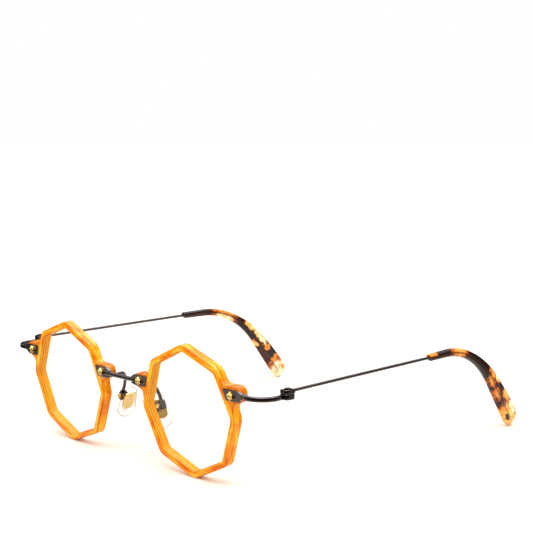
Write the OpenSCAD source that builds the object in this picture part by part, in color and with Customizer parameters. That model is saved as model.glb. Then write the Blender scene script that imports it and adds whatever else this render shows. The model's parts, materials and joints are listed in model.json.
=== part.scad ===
// Octagonal acetate eyeglasses with let-in metal plates, wire temples and acetate tips.
// They stand open on the floor, on the lowest corner of each rim and the end of each tip.
// X runs to the wearer's left, Y back along the temples and Z up from the floor.

/* [Front] */
// Distance between the centres of the two rims
rim_spacing = 69.2; // [62:0.1:84]
// Opening of a rim between opposite flats
opening_w = 39.0; // [34:0.1:47]
// Width of a rim's face
rim_w = 2.25; // [1.8:0.05:3.2]
// Depth of a rim from front to back
rim_d = 3.8; // [3.4:0.1:4.6]
// Radius inside a rim's corners
corner_r = 2.4; // [1:0.1:5]
// Rounding of a rim's long edges
edge_r = 0.4; // [0.2:0.05:0.6]
// Turn of each rim that lifts its outer corner
rim_turn = 2.3; // [0:0.1:4]
// Turn of each rim back round the face
wrap = 1.7; // [0:0.1:5]
// Forward lean of the front as the glasses stand
lean = 5.3; // [2:0.1:10]
// Height worn off the corner that each rim stands on
foot_wear = 0.15; // [0.05:0.01:0.3]

/* [Lenses] */
// Thickness of a lens
lens_t = 1.5; // [1.2:0.1:1.7]
// Radius of a lens's front surface
lens_curve = 250; // [180:5:600]
// Depth of the groove that holds a lens
groove_d = 0.6; // [0.4:0.05:0.8]

/* [Lugs and plates] */
// Height of the outer screw above the rim's centre
outer_screw_v = 9.5; // [7:0.05:11]
// Height of the inner screw above the rim's centre
inner_screw_v = 7.75; // [6:0.05:9]
// Distance of each screw out from the rim's side
screw_out = 3.25; // [2.9:0.05:4]
// Height of the outer lug above its screw
outer_lug_rise = 2.9; // [2.6:0.05:4]
// Height of the inner lug above its screw
inner_lug_rise = 2.4; // [2.3:0.05:4]
// Reach of the outer lug beyond its screw
outer_lug_reach = 3.8; // [3.4:0.05:4.2]
// Reach of the inner lug beyond its screw
inner_lug_reach = 3.5; // [3:0.05:3.6]
// Height of a metal plate
plate_h = 3.9; // [3.4:0.05:4.6]
// Thickness of a metal plate
plate_t = 1.35; // [1:0.05:1.8]
// Depth to which a plate is let into its lug
recess_d = 0.95; // [0.6:0.05:1.1]
// Distance from the screw to a plate's slanted end
plate_in = 3.35; // [2.6:0.05:3.8]
// Distance from the screw to the far end of a bridge plate
plate_reach = 4.6; // [4.2:0.05:5.4]
// Slant of a plate's end beside the rim
plate_slant = 18; // [0:1:30]

/* [Bolts] */
// Radius of a star bolt's points
star_r = 1.45; // [1.25:0.05:1.9]
// Radius of the hollows between the points
star_hollow_r = 1.16; // [1:0.02:1.5]
// Height of a star head
star_h = 0.8; // [0.6:0.05:1.4]
// Diameter of a bolt's shank
shank_d = 1.6; // [1.2:0.05:1.9]
// Diameter of the nut behind a lug
nut_d = 3.3; // [2.6:0.05:3.8]
// Thickness of the nut
nut_t = 1.0; // [0.7:0.05:1.3]

/* [Bridge] */
// Diameter of the bridge bar
bridge_d = 1.6; // [1:0.05:1.75]
// Drop of the bridge bar below the inner screws
bridge_drop = 0.3; // [0:0.05:0.6]
// Depth to which the bar enters each bridge plate
bridge_in = 1.9; // [1.2:0.05:2.4]

/* [End pieces] */
// Height of the bar between the plate and the hinge
bar_h = 1.7; // [1.3:0.05:2]
// Thickness of that bar
bar_t = 1.45; // [1:0.05:1.8]
// Height of that bar above the outer screw
bar_rise = 0.15; // [0:0.05:0.3]
// Reach of the hinge beyond the outer screw
hinge_out = 13.6; // [11:0.05:18]
// Distance of the hinge behind the front
hinge_back = 11.8; // [10:0.1:14]
// Radius of the bar's bend
bar_bend_r = 7.0; // [4:0.1:7.5]

/* [Hinges] */
// Width of both hinge leaves
leaf_w = 3.3; // [3:0.1:4.2]
// Length of both hinge leaves
leaf_len = 4.2; // [3.6:0.1:5]
// Thickness of the lower leaf
lower_leaf_t = 1.85; // [1.6:0.05:2.4]
// Thickness of the upper leaf
upper_leaf_t = 1.35; // [1.35:0.05:2.2]
// Diameter of the hinge screw
hinge_screw_d = 1.2; // [0.9:0.05:1.5]

/* [Temples] */
// Length of a temple from the hinge screw to the end of its tip
temple_len = 145; // [115:1:180]
// Diameter of the temple wire
wire_d = 1.15; // [0.9:0.05:1.3]
// Rise of the wire from the hinge, as an angle
wire_pitch = 0.8; // [0:0.1:2]
// Inward turn of the wire
splay = 1.3; // [0:0.1:5]
// Inward turn of the tip
tip_splay = 3.5; // [0:0.1:10]
// Length of a tip before its bend
tip_lead = 10.7; // [8:0.1:25]
// Radius of a tip's bend
tip_bend_r = 37.5; // [12:0.1:46]
// Angle of a tip's bend
tip_bend = 53; // [30:0.5:60]
// Height and width of a tip where the wire enters
tip_start = [2.7, 2.5];
// Height and width of a tip near its end
tip_finish = [5.1, 3.1];
// Length left solid beyond the core
core_short = 3.6; // [2:0.1:10]

/* [Nose pads] */
// Length of a nose pad
pad_len = 13.0; // [11:0.1:16]
// Width of a nose pad
pad_w = 7.6; // [6.5:0.1:9]
// Thickness of a nose pad
pad_t = 2.4; // [2:0.1:3]
// Sideways tilt of a nose pad
pad_tilt = 26; // [15:1:35]
// Distance of the pad's middle behind its screw
pad_back = 1.2; // [0:0.1:2]
// Distance of the pad's middle below its screw
pad_down = 1.3; // [0:0.1:1.6]
// Diameter of the pad arm's wire
arm_d = 1.25; // [0.8:0.05:1.3]
// Distance of the pad screw outward from the bridge plate's end
pad_out = 4.7; // [3:0.1:6]
// Distance of the pad screw behind the front
pad_screw_back = 7.9; // [6:0.1:10]
// Distance of the pad screw below the rims' centres
pad_screw_drop = 2.6; // [1.5:0.1:6]

/* [Hidden] */

$fn = 48;
// Gap between pieces of one body that fit together
seat_gap = 0.03;
// Radial clearance of a shaft that turns
run_gap = 0.06;
// Gap between the hinge leaves
leaf_gap = 0.1;
// Length by which a cut runs past a face
past = 1;
// Number of straight stretches in a rounded corner of an outline
corner_steps = 4;

// Depths of a lug's neck, hollow and lower corner below its screw
lug_neck = 6.8;
lug_hollow = 3.4;
lug_drop = 2.15;
// Roundings of a lug: hollow below, lower corner, nose and fillet above
lug_hollow_r = 2;
lug_lower_r = 0.9;
lug_nose_r = 2.3;
lug_fillet_r = 2.4;
// Length by which a lug's foot is sunk into the rim
lug_sunk = 0.1;

// Roundings of a plate: slanted end, shoulders and far end
plate_corner_r = 0.45;
plate_shoulder_r = 1.1;
plate_nose_r = 0.4;
// Metal left above and below the bridge bar's slot
prong_t = 0.3;
// Lengths of a plate's slopes, above and below
plate_slope = [1.75, 1.3];
// Length of the outer plate's neck, from its slopes to where it is cut off inside the bar
plate_neck = 2.2;
neck_past = 3;

// Roundings of the hinge leaves: nose, front and rear
leaf_nose_r = 1.4;
leaf_front_r = 0.35;
lower_leaf_r = 1;
upper_leaf_r = 0.5;
// End bar: rounding of its edges, start past the plate's slopes, top below the lower leaf's
bar_edge_r = 0.5;
bar_start = 0.4;
bar_below = 0.02;

// Length by which the temple wire starts inside its leaf, and its height above the leaf's bottom
wire_sunk = 0.3;
wire_lift = 0.05;
// Slant of a tip's start against its height, and the length over which it dies away
tip_slant = 0.45;
tip_slant_len = 6;
// Rounding of a tip's section against its smaller side, and the power by which it thickens
tip_round = 0.36;
tip_growth = 1.2;
// Height worn off the end of a tip where it stands
tip_wear = 0.1;
// Flare where the wire enters a tip: depth and widening
tip_mouth = [0.7, 0.27];

// Hollow in a star bolt's head: widths at the bottom and the top, and depth
socket = [0.9, 1.7, 0.35];
// Slots in the nuts and the hinge screws: width and depth
nut_slot = [0.5, 0.35];
screw_slot = [0.3, 0.2];
// Height of a nut beyond the lug's back
nut_out = 0.2;
// Head of a hinge screw: diameter against its shank, and thickness
hinge_head = 1.75;
hinge_head_t = 0.35;

// Pad arm: start inward of the bridge plate's end, legs square to the plate and to the box, and
// the bends between them, two measured from its start and one from its end
arm_in = 0.35;
arm_legs = [1.6, 2];
arm_front_bend = [[-1.6, 4.8, 0.6], [-0.1, 5.8, 1.8]];
arm_rear_bend = [-2.55, 0.25, 5.55];
// Where the arm ends on the box: outward of the screw, and above it along the pad
arm_foot = [0.75, 1.5];
// Box that holds a pad's tab: tab's width and rounding, wall, height, open side and gap
tab_w = 1.6;
tab_r = 0.85;
box_wall = 0.45;
box_h = 2.9;
box_open = 0.95;
box_gap = 0.15;
box_r = 0.8;
// Distance of the pad's middle plane from its screw
pad_plane = -2.5;
pad_screw_d = 0.8;
pad_head_d = 1.7;
pad_head_t = 0.5;
// Core plate: half width, half height, thickness and roundings of its upper and lower corners
core_half_w = 2.7;
core_half_h = 4;
core_t = 0.7;
core_top_r = 1.6;
core_low_r = 2.2;
// Rounding of the silicone's rim
soft_r = 0.9;

// Distances from a rim's centre to its flats
flat_in = opening_w / 2;
flat_out = flat_in + rim_w;
outer_corner_r = corner_r + rim_w;
apex = (flat_out - outer_corner_r) / cos(22.5) + outer_corner_r;
rim_z = apex * cos(lean) - foot_wear;
outer_side = 22.5 + rim_turn;
inner_side = 22.5 - rim_turn;
plate_front = plate_t - recess_d;

// The lens is curved, so its groove is wider by the rise from its corners to its flats
lens_edge = groove_d - 2 * seat_gap;
lens_apex = (flat_in - corner_r) / cos(22.5) + corner_r + lens_edge;
edge_sag = (lens_apex * lens_apex - flat_in * flat_in) / (2 * lens_curve);
groove_w = lens_t + 0.1 + edge_sag;
star_face = plate_front + star_h;

// Screw places on a rim, outward from its centre and up
outer_screw = [side_u(flat_out, outer_side, outer_screw_v) + screw_out, outer_screw_v];
inner_screw = [side_u(flat_out, inner_side, inner_screw_v) + screw_out, inner_screw_v];

// Hinge, temple and tip places, with the rims' centres at Y = 0
bar_z = rim_z + outer_screw_v * cos(lean) + bar_rise;
hinge_x = rim_spacing / 2 + outer_screw[0] + hinge_out;
lower_leaf_z = bar_z + bar_h / 2 + bar_below - lower_leaf_t;
upper_leaf_z = lower_leaf_z + lower_leaf_t + leaf_gap;
wire_z = upper_leaf_z + wire_d / 2 + wire_lift;
hinge_start = leaf_len / 2 - wire_sunk;
tip_slope = tip_bend - wire_pitch;
tip_end_z = tip_finish[0] / 2 * (1 - sin(tip_slope)) - tip_wear;
tip_arc = tip_bend_r * tip_bend * PI / 180;
tip_leg = (wire_z - tip_end_z + (temple_len - hinge_start - tip_arc) * sin(wire_pitch)
    + tip_bend_r * (cos(tip_slope) - cos(wire_pitch))) / (sin(tip_slope) + sin(wire_pitch));
// The wire is drawn a little thinner where it is the tip's core
ball_over = 0.1;
core_d = wire_d - ball_over + 0.03;
tip_len = tip_lead + tip_arc + tip_leg;
wire_run = temple_len - hinge_start - tip_len;
tip_reach = tip_lead + tip_bend_r * (sin(tip_slope) + sin(wire_pitch)) + tip_leg * cos(tip_slope);

// Place of the front that puts Y = 0 at the middle of the whole depth
front_most = -star_face - (inner_screw_v + star_r) * sin(lean) - inner_screw[0] * sin(wrap);
rear_most = hinge_back + hinge_start + wire_run * cos(splay) + tip_reach * cos(tip_splay)
    + tip_finish[0] / 2 * (1 - cos(tip_slope));
front_y = -(front_most + rear_most) / 2;

plate_end_x = rim_spacing / 2 - inner_screw[0] - plate_reach;
pad_pivot = [plate_end_x + pad_out, front_y + pad_screw_back, rim_z - pad_screw_drop];

// Colours of the materials
honey = "#F59A1A";
tortoise = "#5A3A26";
gunmetal = "#4B4448";
gold = "#E8B558";
clear_lens = [0.92, 0.96, 0.97, 0.3];
clear_silicone = [0.95, 0.93, 0.9, 0.5];

// Where a side of the rim, turned by an angle, lies sideways at a height
function side_u(flat, angle, v) = (flat - v * sin(angle)) / cos(angle);

function unit(v) = v / norm(v);

// Arc that rounds the corner b between a and c
function corner_arc(a, b, c, r) =
    let (
        u = unit(a - b),
        w = unit(c - b),
        half = acos(max(-1, min(1, u * w))) / 2,
        mid = b + unit(u + w) * r / sin(half),
        from = b + u * r / tan(half) - mid,
        to = b + w * r / tan(half) - mid,
        a0 = atan2(from[1], from[0]),
        turn = (atan2(to[1], to[0]) - a0 + 540) % 360 - 180
    )
    [for (i = [0:corner_steps]) mid + r * [cos(a0 + turn * i / corner_steps), sin(a0 + turn * i / corner_steps)]];

// Outline through corners given as [x, y, radius]
function rounded(p) =
    [for (i = [0:len(p) - 1])
        let (
            a = p[(i + len(p) - 1) % len(p)],
            b = p[i],
            c = p[(i + 1) % len(p)]
        )
        each b[2] > 0 ? corner_arc([a[0], a[1]], [b[0], b[1]], [c[0], c[1]], b[2]) : [[b[0], b[1]]]];

function rounded_box(w, h, r) =
    rounded([[w / 2, h / 2, r], [-w / 2, h / 2, r], [-w / 2, -h / 2, r], [w / 2, -h / 2, r]]);

function octagon(flat, r) =
    rounded([for (k = [0:7]) [flat / cos(22.5) * cos(45 * k), flat / cos(22.5) * sin(45 * k), r]]);

// Point on a curve drawn from its control points
function bezier(p, t) =
    len(p) == 1 ? p[0] : bezier([for (i = [0:len(p) - 2]) p[i] * (1 - t) + p[i + 1] * t], t);

// Solid through a list of rings with the same number of points, with capped ends or joined up
module loft(rings, closed = false) {
    n = len(rings[0]);
    m = len(rings);
    last = closed ? m - 1 : m - 2;
    polyhedron(
        points = [for (ring = rings) each ring],
        faces = concat(
            closed ? [] : [[for (j = [n - 1:-1:0]) j]],
            closed ? [] : [[for (j = [0:n - 1]) (m - 1) * n + j]],
            [for (i = [0:last], j = [0:n - 1])
                [i * n + j, (i + 1) % m * n + (j + 1) % n, (i + 1) % m * n + j]],
            [for (i = [0:last], j = [0:n - 1])
                [i * n + j, i * n + (j + 1) % n, (i + 1) % m * n + (j + 1) % n]]
        )
    );
}

// Puts a left piece on its side, or mirrors it for the right
module on_side(side) {
    if (side == "left") children();
    else mirror([1, 0, 0]) children();
}

// Frame of the leaning front, with the rims' centres on its X axis
module on_front() {
    translate([0, front_y, rim_z]) rotate([lean, 0, 0]) children();
}

// Frame of the left rim: X outward, Y up, Z out of its front face
module on_rim() {
    on_front() translate([rim_spacing / 2, 0, 0]) rotate([0, 0, wrap]) rotate([90, 0, 0]) children();
}

// Outer or inner lug's side of the rim, so that both are drawn facing outward
module on_lug(place) {
    if (place == "outer") children();
    else mirror([1, 0, 0]) children();
}

function screw_at(place) = place == "outer" ? outer_screw : inner_screw;
function side_angle(place) = place == "outer" ? outer_side : inner_side;
function lug_rise(place) = place == "outer" ? outer_lug_rise : inner_lug_rise;
function lug_reach(place) = place == "outer" ? outer_lug_reach : inner_lug_reach;

// Section of a rim: X out from the opening, Y forward
function rim_section() =
    let (
        top = (groove_w - rim_d) / 2,
        bottom = -(groove_w + rim_d) / 2
    )
    rounded([
        [0, 0, edge_r], [0, top, 0], [groove_d, top, 0], [groove_d, bottom, 0], [0, bottom, 0],
        [0, -rim_d, edge_r * 1.4], [rim_w, -rim_d, edge_r], [rim_w, 0, edge_r]
    ]);

// Section swept round the octagon, turning a little at a time round each corner
module rim_ring() {
    centre = (flat_in - corner_r) / cos(22.5);
    loft([for (k = [0:7], i = [0:corner_steps])
        let (
            corner = rim_turn + 45 * k,
            a = corner - 22.5 + 45 * i / corner_steps
        )
        [for (p = rim_section()) [
            centre * cos(corner) + (corner_r + p[0]) * cos(a),
            centre * sin(corner) + (corner_r + p[0]) * sin(a),
            p[1]
        ]]], closed = true);
}

// Lug that grows out of the rim's side round a screw
module lug(place) {
    a = side_angle(place);
    s = screw_at(place);
    base = flat_out - lug_sunk;
    middle = flat_out - rim_w / 2;
    end = s[0] + lug_reach(place);
    top = s[1] + lug_rise(place);
    crown = top + lug_hollow_r;
    neck = s[1] - lug_neck;
    neck_u = side_u(base, a, neck);
    translate([0, 0, -rim_d]) linear_extrude(rim_d) polygon(rounded([
        [side_u(middle, a, crown), crown, 0], [side_u(middle, a, neck), neck, 0],
        [neck_u, neck, 0], [neck_u, s[1] - lug_hollow, lug_hollow_r],
        [end, s[1] - lug_drop, lug_lower_r], [end, top, lug_nose_r],
        [side_u(base, a, top), top, lug_fillet_r], [side_u(base, a, crown), crown, 0]
    ]));
}

// Outline of a plate round its screw, grown by a margin
function plate_outline(place, m) =
    let (
        outer = place == "outer",
        s = screw_at(place),
        h = plate_h / 2 + m,
        slant = tan(plate_slant) * plate_h / 2,
        near = s[0] - plate_in - m,
        far = outer ? s[0] + outer_lug_reach + neck_past : s[0] + plate_reach + m,
        end = outer ? far - plate_neck : far,
        mid = s[1] + (outer ? bar_rise : -bridge_drop),
        nose = (outer ? bar_h / 2 : bridge_d / 2 + prong_t) + m,
        nose_r = outer ? plate_shoulder_r : plate_nose_r
    )
    rounded([
        [near - slant, s[1] + h, plate_corner_r], [near + slant, s[1] - h, plate_corner_r],
        [end - plate_slope[1], s[1] - h, plate_shoulder_r], [end, mid - nose, nose_r],
        if (outer) [far, mid - nose, 0],
        if (outer) [far, mid + nose, 0],
        [end, mid + nose, nose_r], [end - plate_slope[0], s[1] + h, plate_shoulder_r]
    ]);

module rim(side) {
    color(honey) on_side(side) difference() {
        on_rim() difference() {
            union() {
                rim_ring();
                for (place = ["outer", "inner"]) on_lug(place) lug(place);
            }
            for (place = ["outer", "inner"]) on_lug(place) {
                s = screw_at(place);
                translate([0, 0, -recess_d]) linear_extrude(recess_d + past)
                    polygon(plate_outline(place, seat_gap));
                translate([s[0], s[1], -rim_d - past])
                    cylinder(h = rim_d + past, d = shank_d + 2 * seat_gap);
                translate([s[0], s[1], -rim_d - past]) cylinder(h = nut_t + past, d = nut_d + 2 * seat_gap);
            }
        }
        translate([0, front_y - 50, -10]) cube([200, 100, 10]);
    }
}

module lens(side) {
    mid_sq = (flat_in * flat_in + lens_apex * lens_apex) / 2;
    centre_z = (lens_t - rim_d) / 2 - sqrt(lens_curve * lens_curve - mid_sq);
    color(clear_lens) on_side(side) on_rim() intersection() {
        translate([0, 0, -rim_d * 2]) linear_extrude(rim_d * 4)
            rotate([0, 0, rim_turn]) polygon(octagon(flat_in + lens_edge, corner_r + lens_edge));
        translate([0, 0, centre_z]) difference() {
            sphere(r = lens_curve, $fn = 240);
            sphere(r = lens_curve - lens_t, $fn = 240);
        }
    }
}

// Plate with its screw hole, from the recess's floor to its front
module plate(place) {
    s = screw_at(place);
    translate([0, 0, seat_gap - recess_d]) difference() {
        linear_extrude(plate_t - seat_gap) polygon(plate_outline(place, 0));
        translate([s[0], s[1], -past]) cylinder(h = plate_t + 2 * past, d = shank_d + 2 * seat_gap);
    }
}

// Bar from the plate outward, round its bend and back to the hinge
module end_bar() {
    section = rounded_box(bar_t, bar_h, bar_edge_r);
    start_x = rim_spacing / 2 + outer_screw[0] + outer_lug_reach + neck_past - plate_neck + bar_start;
    start_y = front_y + outer_screw[0] * sin(wrap) - outer_screw_v * sin(lean) + recess_d - plate_t / 2;
    bend_x = hinge_x - bar_bend_r;
    bend_y = start_y + bar_bend_r;
    end_y = front_y + hinge_back - leaf_len / 2 + bar_edge_r;
    loft(concat(
        [[for (p = section) [start_x, start_y - p[0], bar_z + p[1]]]],
        [for (a = [-90:10:0])
            [for (p = section)
                [bend_x + (bar_bend_r + p[0]) * cos(a), bend_y + (bar_bend_r + p[0]) * sin(a), bar_z + p[1]]]],
        [[for (p = section) [hinge_x + p[0], end_y, bar_z + p[1]]]]
    ));
}

// Hinge leaf with a rounded nose at its outer front corner
module leaf(thickness, rear_r) {
    w = leaf_w / 2;
    l = leaf_len / 2;
    linear_extrude(thickness) polygon(rounded([
        [w, l, rear_r], [-w, l, rear_r], [-w, -l, leaf_front_r], [w, -l, leaf_nose_r]
    ]));
}

module end_piece(side) {
    color(gunmetal) on_side(side) difference() {
        union() {
            on_rim() plate("outer");
            end_bar();
            translate([hinge_x, front_y + hinge_back, lower_leaf_z]) leaf(lower_leaf_t, lower_leaf_r);
        }
        translate([hinge_x, front_y + hinge_back, lower_leaf_z - past])
            cylinder(h = lower_leaf_t + 2 * past, d = hinge_screw_d + 2 * seat_gap);
    }
}

module bridge_plate(side) {
    s = inner_screw;
    slot_h = bridge_d + 2 * seat_gap;
    color(gunmetal) on_side(side) on_rim() on_lug("inner") difference() {
        plate("inner");
        translate([s[0] + plate_reach - bridge_in, s[1] - bridge_drop - slot_h / 2, -recess_d - past])
            cube([bridge_in + past, slot_h, plate_t + 2 * past]);
    }
}

module bridge_bar() {
    half = rim_spacing / 2 - inner_screw[0] - plate_reach + bridge_in - 2 * seat_gap;
    depth = recess_d - seat_gap - bridge_d / 2 - (inner_screw[0] + plate_reach) * sin(wrap);
    color(gunmetal) on_front() translate([-half, depth, inner_screw_v - bridge_drop])
        rotate([0, 90, 0]) cylinder(h = 2 * half, d = bridge_d);
}

module star_outline() {
    polygon([for (i = [0:11])
        let (r = i % 2 == 0 ? star_r : star_hollow_r)
        r * [sin(30 * i), cos(30 * i)]]);
}

module bolt(side, place) {
    s = screw_at(place);
    color(gold) on_side(side) on_rim() on_lug(place) translate([s[0], s[1], 0]) {
        difference() {
            translate([0, 0, plate_front]) linear_extrude(star_h) star_outline();
            translate([0, 0, star_face - socket[2]])
                cylinder(h = socket[2] + 0.01, d1 = socket[0], d2 = socket[1]);
        }
        translate([0, 0, -rim_d]) cylinder(h = rim_d + plate_front + 0.1, d = shank_d);
    }
}

module nut(side, place) {
    s = screw_at(place);
    color(gunmetal) on_side(side) on_rim() on_lug(place)
        translate([s[0], s[1], -rim_d - nut_out]) difference() {
            cylinder(h = nut_t + nut_out - seat_gap, d = nut_d);
            translate([0, 0, -past]) cylinder(h = nut_t + 2 * past, d = shank_d + 2 * seat_gap);
            translate([-nut_d, -nut_slot[0] / 2, -past])
                cube([2 * nut_d, nut_slot[0], past + nut_slot[1]]);
        }
}

module hinge_screw(side) {
    top = upper_leaf_z + upper_leaf_t + 0.05;
    bottom = lower_leaf_z + 0.2;
    color(gunmetal) on_side(side) translate([hinge_x, front_y + hinge_back, 0]) difference() {
        union() {
            translate([0, 0, bottom]) cylinder(h = top - bottom + 0.1, d = hinge_screw_d);
            translate([0, 0, top]) cylinder(h = hinge_head_t, d = hinge_screw_d * hinge_head);
        }
        translate([-hinge_screw_d, -screw_slot[0] / 2, top + hinge_head_t - screw_slot[1]])
            cube([2 * hinge_screw_d, screw_slot[0], past]);
    }
}

// Frame of the left wire where it leaves the hinge leaf: Y along the wire
module on_wire() {
    translate([hinge_x, front_y + hinge_back + hinge_start, wire_z])
        rotate([0, 0, splay]) rotate([wire_pitch, 0, 0]) children();
}

// Frame of the left tip's start: Y along the tip, Z up
module on_tip() {
    run = wire_run * cos(wire_pitch);
    translate([
        hinge_x - run * sin(splay),
        front_y + hinge_back + hinge_start + run * cos(splay),
        wire_z + wire_run * sin(wire_pitch)
    ]) rotate([0, 0, tip_splay]) rotate([wire_pitch, 0, 0]) children();
}

// Round rod along the tip's middle line, up to a distance short of its end, with a ball at each turn
module tip_rod(d, short) {
    sphere(d = d + ball_over);
    rotate([-90, 0, 0]) cylinder(h = tip_lead, d = d);
    translate([0, tip_lead, 0]) sphere(d = d + ball_over);
    translate([0, tip_lead, -tip_bend_r]) rotate([90, 0, 90]) rotate([0, 0, 90 - tip_bend])
        rotate_extrude(angle = tip_bend) translate([tip_bend_r, 0]) circle(d = d);
    translate([0, tip_lead + tip_bend_r * sin(tip_bend), -tip_bend_r * (1 - cos(tip_bend))]) {
        sphere(d = d + ball_over);
        rotate([-tip_bend, 0, 0]) rotate([-90, 0, 0]) cylinder(h = tip_leg - short, d = d);
    }
}

module temple(side) {
    color(gunmetal) on_side(side) {
        translate([hinge_x, front_y + hinge_back, upper_leaf_z]) difference() {
            leaf(upper_leaf_t, upper_leaf_r);
            translate([0, 0, -past])
                cylinder(h = upper_leaf_t + 2 * past, d = hinge_screw_d + 2 * run_gap);
        }
        on_wire() rotate([-90, 0, 0]) cylinder(h = wire_run, d = wire_d);
        on_tip() tip_rod(core_d, core_short);
    }
}

// Middle line of a tip: [along, up, slope] at a distance from its start
function tip_line(s) =
    let (
        bend = min(max((s - tip_lead) / tip_arc, 0), 1) * tip_bend,
        lead = min(s, tip_lead),
        leg = max(s - tip_lead - tip_arc, 0)
    )
    [
        lead + tip_bend_r * sin(bend) + leg * cos(bend),
        -tip_bend_r * (1 - cos(bend)) - leg * sin(bend),
        bend
    ];

// Height and width of a tip at a distance from its start, with a round end
function tip_size(s) =
    let (
        t = s / tip_len,
        end_r = tip_finish[0] / 2,
        from_end = max(end_r - (tip_len - s), 0) / end_r,
        round_end = sqrt(max(1 - from_end * from_end, 0.02))
    )
    (tip_start + (tip_finish - tip_start) * pow(t, tip_growth)) * round_end;

// Ring of a tip, square to its middle line; the first ones lean with the slanted start
function tip_ring(s) =
    let (
        at = tip_line(s),
        size = tip_size(s),
        slant = max(1 - s / tip_slant_len, 0) * tip_slant
    )
    [for (p = rounded_box(size[1], size[0], min(size) * tip_round))
        [p[0], at[0] + p[1] * sin(at[2]) - p[1] * slant, at[1] + p[1] * cos(at[2])]];

module temple_tip(side) {
    end_r = tip_finish[0] / 2;
    steps = 26;
    mouth_r = core_d / 2 + seat_gap + tip_mouth[1] * (past / tip_mouth[0] + 1);
    body = [for (i = [0:steps]) i / steps * (tip_len - end_r)];
    end = [for (i = [1:5]) tip_len - end_r * (1 - sin(i * 18))];
    color(tortoise) on_side(side) difference() {
        on_tip() difference() {
            loft([for (s = concat(body, end)) tip_ring(s)]);
            tip_rod(core_d + 2 * seat_gap, core_short - seat_gap);
            translate([0, -past, 0]) rotate([-90, 0, 0])
                cylinder(h = past + tip_mouth[0], r1 = mouth_r, r2 = core_d / 2 + seat_gap);
        }
        translate([0, 0, -10]) cube([200, 200, 10]);
    }
}

// Control points of the pad arm, from the bridge plate's back to the top of the box
function arm_line() =
    let (
        from_v = inner_screw_v - bridge_drop - bridge_d / 2,
        back = recess_d + seat_gap - (inner_screw[0] + plate_reach) * sin(wrap),
        from = [
            plate_end_x + arm_in,
            front_y + back * cos(lean) - from_v * sin(lean),
            rim_z + back * sin(lean) + from_v * cos(lean)
        ],
        up = [-sin(pad_tilt), 0, cos(pad_tilt)],
        end = pad_pivot + arm_foot[0] * [cos(pad_tilt), 0, sin(pad_tilt)] + arm_foot[1] * up
    )
    [
        from, from + arm_legs[0] * [0, cos(lean), sin(lean)],
        from + arm_front_bend[0], from + arm_front_bend[1],
        end + arm_rear_bend, end + arm_legs[1] * up, end
    ];

module pad_arm(side) {
    line = arm_line();
    steps = 22;
    sides = 12;
    color(gunmetal) on_side(side) loft([for (i = [0:steps])
        let (
            t = i / steps,
            at = bezier(line, t),
            ahead = unit(bezier(line, min(t + 0.01, 1)) - bezier(line, max(t - 0.01, 0))),
            across = unit(cross(ahead, [1, 0, 0])),
            up = cross(ahead, across)
        )
        [for (j = [0:sides - 1])
            at + arm_d / 2 * (across * cos(360 * j / sides) + up * sin(360 * j / sides))]]);
}

// Frame of the left pad screw: X away from the nose, Y back, Z along the pad
module on_pad() {
    translate(pad_pivot) rotate([0, -pad_tilt, 0]) children();
}

module pad_box(side) {
    half_y = tab_w / 2 + box_gap;
    out_y = half_y + box_wall;
    out_x = tab_r + box_gap + box_wall;
    color(gunmetal) on_side(side) on_pad() difference() {
        translate([0, 0, -box_h / 2]) linear_extrude(box_h) polygon(rounded([
            [out_x, out_y, box_r], [-box_open, out_y, 0], [-box_open, -out_y, 0], [out_x, -out_y, box_r]
        ]));
        translate([-box_open - past, -half_y, -box_h / 2 - past])
            cube([box_open + past + tab_r + box_gap, 2 * half_y, box_h + 2 * past]);
        rotate([90, 0, 0]) cylinder(h = 10, d = pad_screw_d + 2 * seat_gap, center = true);
    }
}

module pad_screw(side) {
    half_y = tab_w / 2 + box_gap + box_wall;
    color(gold) on_side(side) on_pad() rotate([90, 0, 0]) {
        translate([0, 0, -half_y]) cylinder(h = 2 * half_y + 0.1, d = pad_screw_d);
        translate([0, 0, half_y + seat_gap]) cylinder(h = pad_head_t, d = pad_head_d);
    }
}

// Outline of the core plate: X back, Y up
function core_outline(m) =
    let (
        w = core_half_w + m,
        h = core_half_h + m
    )
    rounded([[w, -h, core_low_r], [w, h, core_top_r], [-w, h, core_top_r], [-w, -h, core_low_r]]);

// Core plate and tab, grown by a margin where they fill the silicone
module core_shape(m) {
    translate([pad_plane, pad_back, -pad_down]) rotate([90, 0, 90]) translate([0, 0, -core_t / 2 - m])
        linear_extrude(core_t + 2 * m) polygon(core_outline(m));
    translate([pad_plane, -tab_w / 2 - m, -tab_r - m])
        cube([-pad_plane, tab_w + 2 * m, 2 * (tab_r + m)]);
    rotate([90, 0, 0]) cylinder(h = tab_w + 2 * m, r = tab_r + m, center = true);
}

module pad_core(side) {
    color(gold) on_side(side) on_pad() difference() {
        core_shape(0);
        rotate([90, 0, 0]) cylinder(h = 10, d = pad_screw_d + 2 * run_gap, center = true);
    }
}

// Disc with a round rim, flat to the X axis
module soft_disc(r) {
    h = pad_t / 2;
    rotate([0, 90, 0]) rotate_extrude($fn = 32)
        polygon(rounded([[0, h, 0], [0, -h, 0], [r, -h, soft_r], [r, h, soft_r]]));
}

module nose_pad(side) {
    top_r = pad_w * 0.36;
    low_r = pad_w / 2;
    color(clear_silicone) on_side(side) on_pad() difference() {
        translate([pad_plane, pad_back, -pad_down]) hull() {
            translate([0, -0.3, pad_len / 2 - top_r]) soft_disc(top_r);
            translate([0, 0, low_r - pad_len / 2]) soft_disc(low_r);
        }
        core_shape(seat_gap);
    }
}

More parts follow.
